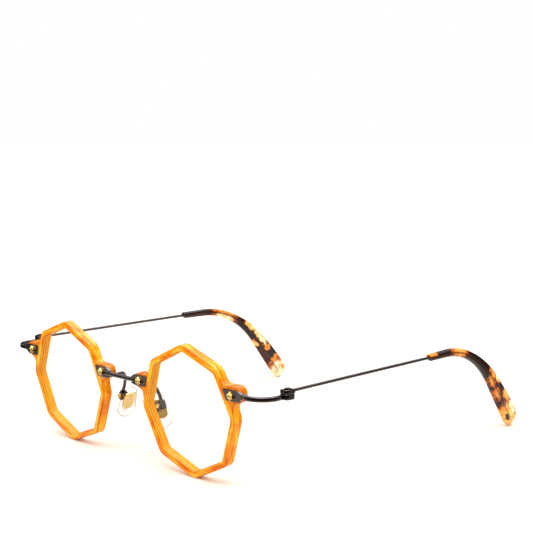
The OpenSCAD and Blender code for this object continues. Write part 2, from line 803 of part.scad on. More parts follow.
rim("left");  // left_rim
rim("right");  // right_rim
lens("left");  // left_lens
lens("right");  // right_lens
end_piece("left");  // left_end_piece
end_piece("right");  // right_end_piece
bridge_plate("left");  // left_bridge_plate
bridge_plate("right");  // right_bridge_plate
bridge_bar();
bolt("left", "outer");  // left_outer_bolt
bolt("right", "outer");  // right_outer_bolt
bolt("left", "inner");  // left_inner_bolt
bolt("right", "inner");  // right_inner_bolt
nut("left", "outer");  // left_outer_nut
nut("right", "outer");  // right_outer_nut
nut("left", "inner");  // left_inner_nut
nut("right", "inner");  // right_inner_nut
hinge_screw("left");  // left_hinge_screw
hinge_screw("right");  // right_hinge_screw
temple("left");  // left_temple
temple("right");  // right_temple
temple_tip("left");  // left_temple_tip
temple_tip("right");  // right_temple_tip
pad_arm("left");  // left_pad_arm
pad_arm("right");  // right_pad_arm
pad_box("left");  // left_pad_box
pad_box("right");  // right_pad_box
pad_screw("left");  // left_pad_screw
pad_screw("right");  // right_pad_screw
pad_core("left");  // left_pad_core
pad_core("right");  // right_pad_core
nose_pad("left");  // left_nose_pad
nose_pad("right");  // right_nose_pad
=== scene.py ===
import json
from math import acos, asin, atan2, cos, pi, radians as rad, sin, sqrt, tan
import bpy
from mathutils import Matrix, Vector, geometry


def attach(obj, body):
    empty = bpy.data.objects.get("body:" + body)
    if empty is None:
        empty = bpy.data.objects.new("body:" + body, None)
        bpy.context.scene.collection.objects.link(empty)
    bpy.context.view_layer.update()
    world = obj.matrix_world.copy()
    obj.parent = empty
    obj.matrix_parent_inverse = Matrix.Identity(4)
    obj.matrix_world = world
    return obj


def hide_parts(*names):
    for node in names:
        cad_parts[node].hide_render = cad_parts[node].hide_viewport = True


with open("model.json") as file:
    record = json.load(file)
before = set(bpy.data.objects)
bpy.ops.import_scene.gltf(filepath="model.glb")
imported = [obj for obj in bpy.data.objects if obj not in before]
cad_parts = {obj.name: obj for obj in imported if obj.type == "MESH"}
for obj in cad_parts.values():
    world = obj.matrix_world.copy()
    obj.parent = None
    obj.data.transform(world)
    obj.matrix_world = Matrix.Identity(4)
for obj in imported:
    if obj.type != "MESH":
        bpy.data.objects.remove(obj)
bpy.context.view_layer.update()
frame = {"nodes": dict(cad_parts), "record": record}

print("frame loaded")

# Everything below is drawn in millimetres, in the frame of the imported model, and put into metres
# as each piece is made. The left piece is drawn and the right one is its mirror image.
# A height v is measured up a rim from its middle; frontY is where the rims' front lies in the frame.
glasses = {
    "rimSpacing": 69.2, "openingWidth": 39.0, "rimWidth": 2.25, "rimDepth": 3.8, "cornerRadius": 2.4,
    "rimTurn": 2.3, "wrap": 1.7, "lean": 5.3, "footWear": 0.15, "frontY": -70.2119,
    "outerScrewV": 9.5, "innerScrewV": 7.75, "screwOut": 3.25,
}
cornerStep = 45    # degrees from one corner of an octagon to the next
halfStep = cornerStep / 2


def shift(x, y, z):
    return Matrix.Translation((x, y, z))


def spin(degrees, axis):
    return Matrix.Rotation(rad(degrees), 4, axis)


def sideU(flat, angle, v):
    # how far out an octagon's side lies at height v
    return (flat - v * sin(rad(angle))) / cos(rad(angle))


flatIn = glasses["openingWidth"] / 2
flatOut = flatIn + glasses["rimWidth"]
outerCornerRadius = glasses["cornerRadius"] + glasses["rimWidth"]
apex = (flatOut - outerCornerRadius) / cos(rad(halfStep)) + outerCornerRadius
rimZ = apex * cos(rad(glasses["lean"])) - glasses["footWear"]
outerSide = halfStep + glasses["rimTurn"]
innerSide = halfStep - glasses["rimTurn"]


def screwAt(side, v):
    return sideU(flatOut, side, v) + glasses["screwOut"], v


outerScrew = screwAt(outerSide, glasses["outerScrewV"])
innerScrew = screwAt(innerSide, glasses["innerScrewV"])

# Frames: the leaning front, and the rim with X outward, Y up and Z out of its front face
onFront = shift(0, glasses["frontY"], rimZ) @ spin(glasses["lean"], "X")
onRim = onFront @ shift(glasses["rimSpacing"] / 2, 0, 0) @ spin(glasses["wrap"], "Z") @ spin(90, "X")
flipX = Matrix.Diagonal((-1, 1, 1, 1))
toMetres = Matrix.Scale(0.001, 4)


def roundedOutline(corners, steps=6):
    # corners are (x, y, radius), counter-clockwise
    points = []
    count = len(corners)
    for i, (x, y, radius) in enumerate(corners):
        b = Vector((x, y))
        if radius <= 0:
            points.append(b)
            continue
        a = Vector(corners[i - 1][:2])
        c = Vector(corners[(i + 1) % count][:2])
        u, w = (a - b).normalized(), (c - b).normalized()
        half = acos(max(-1, min(1, u.dot(w)))) / 2
        mid = b + (u + w).normalized() * radius / sin(half)
        start = b + u * radius / tan(half) - mid
        end = b + w * radius / tan(half) - mid
        a0 = atan2(start.y, start.x)
        turn = (atan2(end.y, end.x) - a0 + 3 * pi) % (2 * pi) - pi
        for k in range(steps + 1):
            angle = a0 + turn * k / steps
            points.append(mid + radius * Vector((cos(angle), sin(angle))))
    return points


def roundedBox(halfWidth, halfHeight, radius, steps=6):
    x, y = halfWidth, halfHeight
    return roundedOutline([(x, y, radius), (-x, y, radius), (-x, -y, radius), (x, -y, radius)], steps)


def grown(points, distance, sharpest=0.3):
    # outline moved outward by a distance, point by point
    shifted = []
    count = len(points)
    for i, p in enumerate(points):
        before = (p - points[i - 1]).normalized()
        after = (points[(i + 1) % count] - p).normalized()
        n1, n2 = Vector((before.y, -before.x)), Vector((after.y, -after.x))
        mean = n1 + n2
        if mean.length < 1e-6:
            mean = n1
        mean.normalize()
        shifted.append(p + mean * distance / max(mean.dot(n1), sharpest))
    return shifted


def edgeLevels(low, high, lowEdge, highEdge, steps=4):
    # (inset, height) pairs up the side of a slab with rounded edges
    levels = []
    for k in range(steps + 1):
        a = rad(90 * k / steps)
        levels.append((lowEdge * (1 - sin(a)), low + lowEdge * (1 - cos(a))))
    for k in range(steps + 1):
        a = rad(90 * k / steps)
        levels.append((highEdge * (1 - cos(a)), high - highEdge * (1 - sin(a))))
    return [p for i, p in enumerate(levels) if i == 0 or (Vector(p) - Vector(levels[i - 1])).length > 1e-5]


def skin(rings, caps=True):
    # surface through rings with the same number of points
    n, m = len(rings[0]), len(rings)
    points = [Vector(p) for ring in rings for p in ring]
    faces = []
    for i in range(m - 1):
        for j in range(n):
            faces.append((i * n + j, i * n + (j + 1) % n, (i + 1) * n + (j + 1) % n, (i + 1) * n + j))
    if caps:
        faces.append(tuple(range(n - 1, -1, -1)))
        faces.append(tuple((m - 1) * n + j for j in range(n)))
    return points, faces


def ringsUp(outline, levels):
    # an outline's rings at (inset, height) levels
    return [[(p.x, p.y, height) for p in grown(outline, -inset)] for inset, height in levels]


def slab(outline, low, high, lowEdge, highEdge, steps=4):
    return skin(ringsUp(outline, edgeLevels(low, high, lowEdge, highEdge, steps)))


def sheet(outline, thickness, edge, steps=4):
    # a slab with its middle at height 0
    return slab(outline, -thickness / 2, thickness / 2, edge, edge, steps)


def turnedOut(part):
    points, faces = part
    return points, [tuple(reversed(f)) for f in faces]


def moved(part, matrix):
    points, faces = part if matrix.determinant() > 0 else turnedOut(part)
    return [matrix @ p for p in points], faces


def newObject(name, data):
    thing = bpy.data.objects.new(name, data)
    bpy.context.collection.objects.link(thing)
    return thing


def makePiece(name, parts, material, body, nodes, uvs=None):
    points, faces = [], []
    for part in parts:
        start = len(points)
        points += [toMetres @ p for p in part[0]]
        faces += [tuple(start + i for i in f) for f in part[1]]
    mesh = bpy.data.meshes.new(name)
    mesh.from_pydata(points, [], faces)
    mesh.validate()
    mesh.shade_smooth()
    if uvs:
        layer = mesh.uv_layers.new(name="run")
        for loop in mesh.loops:
            layer.data[loop.index].uv = uvs[loop.vertex_index]
    mesh.materials.append(material)
    piece = newObject(name, mesh)
    evenOut = piece.modifiers.new("even normals", "WEIGHTED_NORMAL")
    evenOut.keep_sharp = True
    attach(piece, body)
    if nodes:
        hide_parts(*nodes)


def onFloor(part):
    # worn flat where it stands
    return [Vector((p.x, p.y, max(p.z, 0.0))) for p in part[0]], part[1]


def bothSides(name, parts, materials, body="front", replaced=True, uvs=None):
    # the left piece and its mirror image; body and node names take the side's name in front
    if not isinstance(materials, tuple):
        materials = (materials, materials)
    for side, material in zip(("left", "right"), materials):
        place = Matrix.Identity(4) if side == "left" else flipX
        rider = body if body == "front" else side + "_" + body
        makePiece(side + "_" + name + "_piece", [moved(p, place) for p in parts], material, rider,
                  [side + "_" + name] if replaced else [], uvs)


def linear(hexColour):
    value = [int(hexColour[i:i + 2], 16) / 255 for i in (1, 3, 5)]
    return tuple(c / 12.92 if c <= 0.04045 else ((c + 0.055) / 1.055) ** 2.4 for c in value) + (1.0,)


def addNode(tree, kind, settings=None, links=None):
    # The node's own settings are in small letters and go in before its sockets, which are named or
    # counted. A link comes from an output, or from a node, which stands for its first output in use.
    node = tree.nodes.new("ShaderNode" + kind)
    inOrder = sorted((settings or {}).items(), key=lambda item: str(item[0])[0].islower(), reverse=True)
    for key, value in inOrder:
        if isinstance(key, int) or key in node.inputs:
            node.inputs[key].default_value = value
        else:
            setattr(node, key, value)
    for key, source in (links or {}).items():
        if hasattr(source, "outputs"):
            source = next(output for output in source.outputs if output.enabled)
        tree.links.new(source, node.inputs[key])
    return node


def newMaterial(name):
    material = bpy.data.materials.new(name)
    material.use_nodes = True
    material.node_tree.nodes.clear()
    return material, material.node_tree


def rampStops(node, stops):
    ramp = node.color_ramp
    while len(ramp.elements) < len(stops):
        ramp.elements.new(0.5)
    for element, (place, colour) in zip(ramp.elements, stops):
        element.position = place
        element.color = linear(colour)


def addGrain(tree, coord, stops, sizeMm):
    # a fine pattern of two close colours
    grain = addNode(tree, "TexNoise", {"Scale": 1000 / sizeMm}, {"Vector": coord.outputs["Object"]})
    ramp = addNode(tree, "ValToRGB", None, {"Fac": grain})
    rampStops(ramp, stops)
    return ramp


def finished(material, shader):
    addNode(material.node_tree, "OutputMaterial", None, {"Surface": shader})
    return material


# Cellulose acetate sheet, cut and tumble polished: light passes some way in, so it glows amber,
# and the layers of the sheet show as soft orange and yellow streaks a few millimetres apart
honeySettings = {
    "streaks": [(0.36, "#D46204"), (0.43, "#EE8606"), (0.49, "#F79E0C"), (0.60, "#FBC63C")],
    "streakMm": 8.0, "acrossMm": 1.5,
    "lug": "#D46206", "lugShare": 0.7, "lugStart": -0.8, "lugEnd": 2.6,    # mm past the bars' outline
    "wall": "#F8B428", "wallShare": 0.75, "wallGlow": 0.16, "edgeShadeColour": "#7E3203", "edgeShadeShare": 0.85,
    "glint": "#FFB45A", "roughness": 0.08, "clear": 0.25, "milky": 0.35, "milkyMm": 1.5,
}


def makeHoneyAcetate(s):
    material, tree = newMaterial("polished honey acetate")
    coord = addNode(tree, "TexCoord")
    ownMap = addNode(tree, "UVMap", {"uv_map": "run"})
    run = addNode(tree, "SeparateXYZ", None, {"Vector": ownMap})
    # streaks run along the bars: they change slowly along a bar and quickly across it
    slow = addNode(tree, "VectorMath", {"operation": "SCALE", "Scale": 1000 / s["streakMm"]},
                   {0: coord.outputs["Object"]})
    quick = addNode(tree, "Math", {"operation": "MULTIPLY", 1: 1000 / s["acrossMm"]},
                    {0: run.outputs["X"]})
    cloud = addNode(tree, "TexNoise", {"noise_dimensions": "4D", "Scale": 1.0, "Detail": 4.0,
                                       "Roughness": 0.55, "Distortion": 0.4},
                    {"Vector": slow, "W": quick})
    ramp = addNode(tree, "ValToRGB", None, {"Fac": cloud})
    rampStops(ramp, s["streaks"])
    # deeper towards the outline, and most where the sheet is widest, at the lugs
    lugStart, lugEnd = ((flatOut + s[key]) / 1000 for key in ("lugStart", "lugEnd"))
    wide = addNode(tree, "MapRange", {"From Min": lugStart, "From Max": lugEnd, "To Max": s["lugShare"]},
                   {"Value": run.outputs["X"]})
    body = addNode(tree, "Mix", {"data_type": "RGBA", 7: linear(s["lug"])}, {0: wide, 6: ramp})
    # painted light: the walls of the opening are painted yellow, as if lit through the bar
    wall = addNode(tree, "MapRange", {"From Max": -1.0, "To Max": s["wallShare"]},
                   {"Value": run.outputs["Y"]})
    walled = addNode(tree, "Mix", {"data_type": "RGBA", 7: linear(s["wall"])}, {0: wall, 6: body})
    # painted shade: rounded edges are painted darker, standing in for light running along the sheet there
    line = addNode(tree, "MapRange", {"To Max": s["edgeShadeShare"]}, {"Value": run.outputs["Y"]})
    edgeShaded = addNode(tree, "Mix", {"data_type": "RGBA", 7: linear(s["edgeShadeColour"])}, {0: line, 6: walled})
    # painted glow: the walls of the opening give off a little light of their own, standing in for light
    # gathered by the sheet
    glow = addNode(tree, "Math", {"operation": "MULTIPLY", 1: s["wallGlow"]}, {0: wall})
    shader = addNode(tree, "BsdfPrincipled", {
        "Roughness": s["roughness"], "IOR": 1.48, "Specular IOR Level": 0.35,
        "Specular Tint": linear(s["glint"]), "Transmission Weight": s["clear"],
        "Subsurface Weight": s["milky"], "Subsurface Scale": s["milkyMm"] / 1000,
        "Subsurface Radius": (1.0, 0.5, 0.1), "Emission Color": linear(s["wall"]),
    }, {"Base Color": edgeShaded, "Emission Strength": glow})
    return finished(material, shader)


# Tortoiseshell acetate rod, turned, bent and polished: nearly black brown with amber, orange and
# cream patches a few millimetres long, clearer where they are pale. A patch is its distance along
# the tip, its height on it, half its length and half its height, all in mm, and its colour. Stains
# are faint patches without a colour of their own, and a spot is a dark one in the pale end.
tortoiseSettings = {
    "body": [(0.05, "#1B1311"), (0.4, "#45170A"), (0.75, "#A65A14")], "halo": "#A65A14", "core": "#3A2418",
    "warpMm": 1.9, "wanderMm": 3.4, "cloud": "#EFA552", "cloudMm": 2.4, "cloudShare": 0.75,
    "roughness": 0.12, "milky": 0.2, "milkyMm": 0.6,
    # where a patch starts and where it is full, as shares of its half size
    "patchEdge": (1.1, 0.7), "haloEdge": (1.75, 0.85), "stainEdge": (1.4, 0.5), "spotEdge": (1.5, 0.7),
    "stainShare": 0.4, "coreEdge": (0.5, 0.2), "coreShare": 0.75, "coreEnd": (68.0, 67.4),
    "left": [
        (1.8, 1.0, 2.2, 0.9, "#E79A3C"), (18.2, 0.6, 4.4, 1.9, "#E9A24A"),
        (43.0, 1.9, 2.6, 0.9, "#EFA640"), (45.4, -0.6, 2.6, 1.3, "#EA9C3C"),
        (47.2, 3.0, 2.2, 1.2, "#FFE08C"), (52.4, -0.8, 2.8, 1.3, "#D8842E"),
        (57.5, 3.4, 3.0, 1.5, "#EDAA4C"), (66.5, 0.6, 6.4, 5.0, "#F3C468"),
        (61.5, -1.4, 2.6, 1.3, "#EDA642"), (64.0, 3.4, 3.4, 1.2, "#FFEFC4"),
        (69.0, 4.3, 3.0, 0.8, "#8A4A22"),
    ],
    "leftStains": [(9.0, -0.5, 3.6, 0.7), (35.0, 2.4, 2.4, 0.4), (50.0, 1.5, 2.0, 0.9),
                   (13.0, 1.4, 1.6, 0.4)],
    "leftSpot": (65.6, -1.2, 1.9, 0.8),
    "right": [
        (23.0, -1.1, 6.0, 1.4, "#FDE2A8"), (23.0, 1.4, 6.2, 1.0, "#EE9436"),
        (38.6, 1.3, 3.0, 1.2, "#FBD07C"), (46.0, 2.4, 7.2, 1.5, "#FFEBBA"),
        (53.5, 2.2, 1.8, 1.4, "#EE9130"), (47.5, -1.7, 1.9, 0.9, "#F8C272"),
        (61.0, 1.8, 1.1, 3.0, "#EE8A28"), (68.4, 0.8, 6.2, 4.9, "#FDEBC4"),
        (68.2, 3.5, 1.8, 1.0, "#F09A3A"),
    ],
    "rightStains": [(8.5, -0.4, 3.0, 0.9), (31.5, 1.7, 3.2, 0.5), (55.0, -1.4, 6.4, 1.2),
                    (61.0, -0.6, 2.0, 0.8)],
    "rightSpot": (57.5, 1.6, 2.2, 1.3),
}


def makeTortoiseAcetate(s, side):
    material, tree = newMaterial("polished tortoiseshell acetate, " + side)
    coord = addNode(tree, "TexCoord")
    ownMap = addNode(tree, "UVMap", {"uv_map": "run"})
    # the patches' edges wander by about a millimetre
    drift = addNode(tree, "TexNoise", {"Scale": 1000 / s["warpMm"], "Detail": 3.0},
                    {"Vector": coord.outputs["Object"]})
    centred = addNode(tree, "VectorMath", {"operation": "SUBTRACT", 1: (0.5, 0.5, 0.5)},
                      {0: drift.outputs["Color"]})
    scaled = addNode(tree, "VectorMath", {"operation": "SCALE", "Scale": s["wanderMm"] / 1000},
                     {0: centred})
    place = addNode(tree, "VectorMath", {"operation": "ADD"}, {0: ownMap, 1: scaled})

    def awayFrom(along, height, halfLength, halfHeight):
        # 0 in the middle of a patch and 1 at the end of its half size
        offset = addNode(tree, "VectorMath", {"operation": "SUBTRACT", 1: (along / 1000, height / 1000, 0)},
                         {0: place})
        size = addNode(tree, "VectorMath",
                       {"operation": "MULTIPLY", 1: (1000 / halfLength, 1000 / halfHeight, 0)},
                       {0: offset})
        return addNode(tree, "VectorMath", {"operation": "LENGTH"}, {0: size})

    # pale patches lie in orange, that fades through red-brown into the dark
    marks = [(patch[:4], s["haloEdge"], 1.0, patch[4]) for patch in s[side]]
    marks += [(stain, s["stainEdge"], s["stainShare"], None) for stain in s[side + "Stains"]]
    colour, glow = None, None
    for patch, edge, share, patchColour in marks:
        far = awayFrom(*patch)
        near = addNode(tree, "MapRange", {"From Min": edge[0], "From Max": edge[1], "To Max": share},
                       {"Value": far})
        glow = addNode(tree, "Math", {"operation": "MAXIMUM"}, {0: glow, 1: near}) if glow else near
        if patchColour:
            cover = addNode(tree, "MapRange", {"From Min": s["patchEdge"][0], "From Max": s["patchEdge"][1],
                                               "interpolation_type": "SMOOTHSTEP"}, {"Value": far})
            colour = addNode(tree, "Mix",
                             {"data_type": "RGBA", 6: linear(s["halo"]), 7: linear(patchColour)},
                             {0: cover, 6: colour} if colour else {0: cover})
    spot = addNode(tree, "MapRange", {"From Min": s["spotEdge"][0], "From Max": s["spotEdge"][1],
                                      "interpolation_type": "SMOOTHSTEP"},
                   {"Value": awayFrom(*s[side + "Spot"])})
    offSpot = addNode(tree, "Math", {"operation": "SUBTRACT", 0: 1.0}, {1: spot})
    lit = addNode(tree, "Math", {"operation": "MULTIPLY"}, {0: glow, 1: offSpot})
    body = addNode(tree, "ValToRGB", None, {"Fac": lit})
    rampStops(body, s["body"])
    inside = addNode(tree, "MapRange", {"From Min": 0.6, "From Max": 0.95}, {"Value": lit})
    whole = addNode(tree, "Mix", {"data_type": "RGBA"}, {0: inside, 6: body, 7: colour})
    # clouds inside the pale patches
    cloud = addNode(tree, "TexNoise", {"Scale": 1000 / s["cloudMm"], "Detail": 2.0},
                    {"Vector": coord.outputs["Object"]})
    veil = addNode(tree, "MapRange", {"From Min": 0.42, "From Max": 0.66, "To Max": s["cloudShare"]},
                   {"Value": cloud})
    clouded = addNode(tree, "Mix", {"data_type": "RGBA", "blend_type": "MULTIPLY", 7: linear(s["cloud"])},
                      {0: veil, 6: whole})
    # the metal core shows through the pale parts as a thin line along the middle, and stops short
    run = addNode(tree, "SeparateXYZ", None, {"Vector": ownMap})
    fromMiddle = addNode(tree, "Math", {"operation": "ABSOLUTE"}, {0: run.outputs["Y"]})
    outer, inner = s["coreEdge"]
    band = addNode(tree, "MapRange",
                   {"From Min": outer / 1000, "From Max": inner / 1000, "To Max": s["coreShare"]},
                   {"Value": fromMiddle})
    none, full = s["coreEnd"]
    length = addNode(tree, "MapRange", {"From Min": none / 1000, "From Max": full / 1000},
                     {"Value": run.outputs["X"]})
    line = addNode(tree, "Math", {"operation": "MULTIPLY"}, {0: band, 1: length})
    cored = addNode(tree, "Mix", {"data_type": "RGBA", 7: linear(s["core"])}, {0: line, 6: clouded})
    shader = addNode(tree, "BsdfPrincipled", {
        "Roughness": s["roughness"], "IOR": 1.48, "Specular IOR Level": 0.35,
        "Subsurface Weight": s["milky"], "Subsurface Scale": s["milkyMm"] / 1000,
        "Subsurface Radius": (1.0, 0.5, 0.15),
    }, {"Base Color": cored})
    return finished(material, shader)


# Plated steel, polished. Gunmetal is a dark mirror, nearly black where the room is dark, under a thin
# lacquer; gold is a warm pale yellow with slightly softened reflections. The real grain is too fine to
# show, so it is drawn coarser, and it keeps the metal from looking like one flat colour.
gunmetalSettings = {
    "grain": [(0.3, "#403837"), (0.7, "#4D4443")], "grainMm": 0.4,
    "finish": {"Metallic": 1.0, "Roughness": 0.1, "Coat Weight": 0.6, "Coat Roughness": 0.05},
}
goldSettings = {
    "grain": [(0.3, "#F0C670"), (0.7, "#FBDD96")], "grainMm": 0.5,
    "finish": {"Metallic": 1.0, "Roughness": 0.2},
}
paleGoldSettings = {**goldSettings, "grain": [(0.3, "#EECB80"), (0.7, "#F8DE9C")]}
# the left pad core's plating: the same pale gold painted darker, as if in shade
shadedPaleGoldSettings = {**goldSettings, "grain": [(0.3, "#A88440"), (0.7, "#BE9A54")]}
# Painted shade where a lens meets the groove that holds it: a dark brown line, a little uneven, on a thin
# band over the rim
seamShadeSettings = {
    "grain": [(0.35, "#7A3206"), (0.65, "#A4510C")], "grainMm": 3,
    "finish": {"Roughness": 0.5, "IOR": 1.48},
}


def makeGrained(name, s):
    material, tree = newMaterial(name)
    ramp = addGrain(tree, addNode(tree, "TexCoord"), s["grain"], s["grainMm"])
    return finished(material, addNode(tree, "BsdfPrincipled", s["finish"], {"Base Color": ramp}))


# Clear cast lens plastic: all but unseen, with a faint reflection and wipe marks in it
lensSettings = {"tint": "#A8A09C", "hazeMm": 16, "smooth": 0.01, "hazy": 0.05,
                "finish": {"IOR": 1.5, "Alpha": 0.03}}
# Clear moulded silicone: clear in the middle, with a painted pinkish brown outline where it curves away,
# which
# stands in for the shade at its edges: cover is how solid it looks from one share of turning away to
# another
siliconeSettings = {"tint": "#6E564E", "hazeMm": 4.5, "smooth": 0.1, "hazy": 0.2, "finish": {"IOR": 1.41},
                    "turned": (0.2, 0.75), "cover": (0.05, 0.8)}


def makeClear(name, s):
    material, tree = newMaterial(name)
    coord = addNode(tree, "TexCoord")
    haze = addNode(tree, "TexNoise", {"Scale": 1000 / s["hazeMm"], "Detail": 2.0},
                   {"Vector": coord.outputs["Object"]})
    rough = addNode(tree, "MapRange", {"To Min": s["smooth"], "To Max": s["hazy"]}, {"Value": haze})
    links = {"Roughness": rough}
    if "cover" in s:
        # painted shade: the dark tint grows more solid where the surface turns away
        edge = addNode(tree, "LayerWeight", {"Blend": 0.35})
        cover = addNode(tree, "MapRange", {"From Min": s["turned"][0], "From Max": s["turned"][1],
                                           "To Min": s["cover"][0], "To Max": s["cover"][1]},
                        {"Value": edge.outputs["Facing"]})
        links["Alpha"] = cover
    shader = addNode(tree, "BsdfPrincipled", {"Base Color": linear(s["tint"]), **s["finish"]}, links)
    return finished(material, shader)


honeyAcetate = makeHoneyAcetate(honeySettings)
tortoiseAcetate = tuple(makeTortoiseAcetate(tortoiseSettings, side) for side in ("left", "right"))
gunmetal = makeGrained("polished gunmetal plating", gunmetalSettings)
gold = makeGrained("polished gold plating", goldSettings)
paleGold = makeGrained("thin pale gold plating", paleGoldSettings)
shadedPaleGold = makeGrained("thin pale gold plating in painted shade", shadedPaleGoldSettings)
seam = makeGrained("painted seam shade in acetate", seamShadeSettings)
clearLens = makeClear("clear cast lens plastic", lensSettings)
clearSilicone = makeClear("clear moulded silicone", siliconeSettings)
# the lenses stay as packed, so their finish goes on their own meshes
slotFinish = {
    "honey_acetate": honeyAcetate, "tortoise_acetate": tortoiseAcetate[0], "gunmetal": gunmetal,
    "gold": gold, "clear_lens": clearLens, "clear_silicone": clearSilicone,
}
for part in frame["record"]["subparts"]:
    node = frame["nodes"].get(part["node"])
    if node and part["material_slot"] in slotFinish:
        for materialSlot in node.material_slots:
            materialSlot.material = slotFinish[part["material_slot"]]
print("materials made")

rimShape = {
    "edge": 0.4, "backEdge": 0.56, "outerRise": 2.9, "innerRise": 2.4, "outerReach": 3.8, "innerReach": 3.5,
    "neck": 6.8, "hollow": 3.4, "drop": 2.15, "sunk": 0.1, "hollowRound": 2.0, "lowRound": 0.9,
    "topRound": 2.3, "rootRound": 2.4, "grooveWidth": 1.76, "grooveDepth": 0.6,
    "seamWidth": 0.2, "seamIn": 0.05, "seamOut": 0.03,
    # the next entry sets how strong the painted shade on the front rounded edges is
    "frontEdgeShade": 0.6,    # strength of the dark line on the front edges
    "slope": 0.8,    # how far the streaks slope inward with depth
}


def lugCorners(s, outer):
    # corners of a lug drawn outward, from below its screw to above it
    screw, side = (outerScrew, outerSide) if outer else (innerScrew, innerSide)
    rise, reach = (s["outerRise"], s["outerReach"]) if outer else (s["innerRise"], s["innerReach"])
    v = screw[1]
    neckU = sideU(flatOut - s["sunk"], side, v - s["neck"])
    return [
        (neckU, v - s["neck"] + s["sunk"] / sin(rad(side)), 0),
        (neckU, v - s["hollow"], s["hollowRound"]),
        (screw[0] + reach, v - s["drop"], s["lowRound"]), (screw[0] + reach, v + rise, s["topRound"]),
        (sideU(flatOut, side, v + rise), v + rise, s["rootRound"]),
    ]


def octagonCorners(flat):
    far = flat / cos(rad(halfStep))
    turns = [rad(glasses["rimTurn"] + cornerStep * k) for k in range(8)]
    return [(far * cos(a), far * sin(a)) for a in turns]


def rimOutline(s):
    corners = []
    for k, (x, y) in enumerate(octagonCorners(flatOut)):
        if k == 4:
            corners += [(-u, v, r) for u, v, r in reversed(lugCorners(s, False))]
        corners.append((x, y, outerCornerRadius))
        if k == 0:
            corners += lugCorners(s, True)
    return roundedOutline(corners, 8)


def openingOutline():
    return roundedOutline([(x, y, glasses["cornerRadius"]) for x, y in octagonCorners(flatIn)], 8)


def edgeShade(inset, radius):
    # strength of the painted shade: 1 in the middle of a rounded edge, 0 where it meets a flat
    up = max(0, min(1, 1 - inset / radius))
    return 2 * up * sqrt(1 - up * up)


def acrossBar(p, inset, z):
    # distance across a bar from the lens's middle, with a share of the depth, in metres
    sides = [rad(glasses["rimTurn"] + halfStep + cornerStep * k) for k in range(8)]
    out = max(p.x * cos(a) + p.y * sin(a) for a in sides)
    return (out - inset + rimShape["slope"] * z) / 1000


def rimPart(s):
    # a point's place for the finish: distance across the bar, and the painted shade of a rounded edge, or
    # -1 where the finish paints the opening as lit
    outside, inside = rimOutline(s), openingOutline()
    depth, edge = glasses["rimDepth"], s["edge"]
    mid = -depth / 2
    levels = edgeLevels(-depth, 0, edge, edge, 5)
    outerRings = ringsUp(outside, levels)
    points, faces = skin(outerRings, False)
    acrossAndShade = [(acrossBar(p, inset, z), edgeShade(inset, edge) * (1 if z < mid else s["frontEdgeShade"]))
             for inset, z in levels for p in outside]
    # opening, with the groove that holds the lens
    half = s["grooveWidth"] / 2
    innerLevels = edgeLevels(-depth, 0, s["backEdge"], edge, 5)
    lower = [(i, z) for i, z in innerLevels if z < mid]
    upper = [(i, z) for i, z in innerLevels if z > mid]
    groove = [(0, mid - half), (s["grooveDepth"], mid - half),
              (s["grooveDepth"], mid + half), (0, mid + half)]
    innerLevels = lower + groove + upper
    innerRings = ringsUp(inside, [(-inset, z) for inset, z in innerLevels])
    innerPoints, innerFaces = skin(innerRings, False)
    for inset, z in innerLevels:
        shade = edgeShade(inset, s["backEdge"]) if z < mid else edgeShade(inset, edge) * s["frontEdgeShade"]
        # the sides of the opening and the groove are marked -1, and the finish paints them yellow as if lit
        if inset < 0.01 or (inset, z) in groove:
            shade = -1
        acrossAndShade += [(acrossBar(p, -inset, z), shade) for p in inside]
    start = len(points)
    points += innerPoints
    faces += [tuple(start + i for i in reversed(f)) for f in innerFaces]
    # flat faces between the outline and the opening
    nOut, nIn = len(outside), len(inside)
    for level, top in ((0, False), (-1, True)):
        outRing = outerRings[level]
        inRing = innerRings[level]
        outStart = 0 if level == 0 else (len(outerRings) - 1) * nOut
        inStart = start + (0 if level == 0 else (len(innerRings) - 1) * nIn)
        index = [outStart + i for i in range(nOut)] + [inStart + i for i in range(nIn)]
        flat = geometry.tessellate_polygon([[Vector(p) for p in outRing], [Vector(p) for p in inRing]])
        for triangle in flat:
            a, b, c = (points[index[i]] for i in triangle)
            up = (b - a).cross(c - a).z > 0
            face = tuple(index[i] for i in triangle)
            faces.append(face if up == top else tuple(reversed(face)))
    return (points, faces), acrossAndShade


def seamPart(s):
    # a narrow band round the opening, where the lens's front face meets the rim, that carries the painted
    # shade
    z, half = -glasses["rimDepth"] / 2 + s["grooveWidth"] / 2, s["seamWidth"] / 2
    ends = ((s["seamIn"], -half), (-s["seamOut"], -half), (-s["seamOut"], half), (s["seamIn"], half))
    return turnedOut(skin(ringsUp(openingOutline(), [(-inset, z + up) for inset, up in ends]), False))


plateShape = {
    "height": 3.9, "thickness": 1.35, "recess": 0.95, "near": 3.35, "reach": 4.6, "slant": 18,
    "edge": 0.14, "bridgeEdge": 0.1, "backEdge": 0.04, "under": 0.03,    # under: room behind a plate
    "neck": 2.2, "neckPast": 3.0, "slopes": (1.75, 1.3), "cornerRound": 0.45, "neckRound": 1.1,
}
bridgeShape = {
    "diameter": 1.6, "drop": 0.3, "inside": 1.9, "prong": 0.3, "prongRound": 0.15, "room": 0.03,
    "endRoom": 0.06, "edge": 0.05,
}
barShape = {
    "height": 1.7, "thickness": 1.45, "rise": 0.15, "round": 0.5, "bend": 7.0, "hingeOut": 13.6,
    "hingeBack": 11.8, "start": 0.4, "steps": 24,
}
leafShape = {
    "width": 3.3, "length": 4.2, "lower": 1.85, "upper": 1.35, "gap": 0.1, "edge": 0.18, "seat": 0.02,
    "lowerRound": 1.0, "upperRound": 0.5, "frontRound": 1.4, "innerRound": 0.35,
}
barZ = rimZ + glasses["outerScrewV"] * cos(rad(glasses["lean"])) + barShape["rise"]
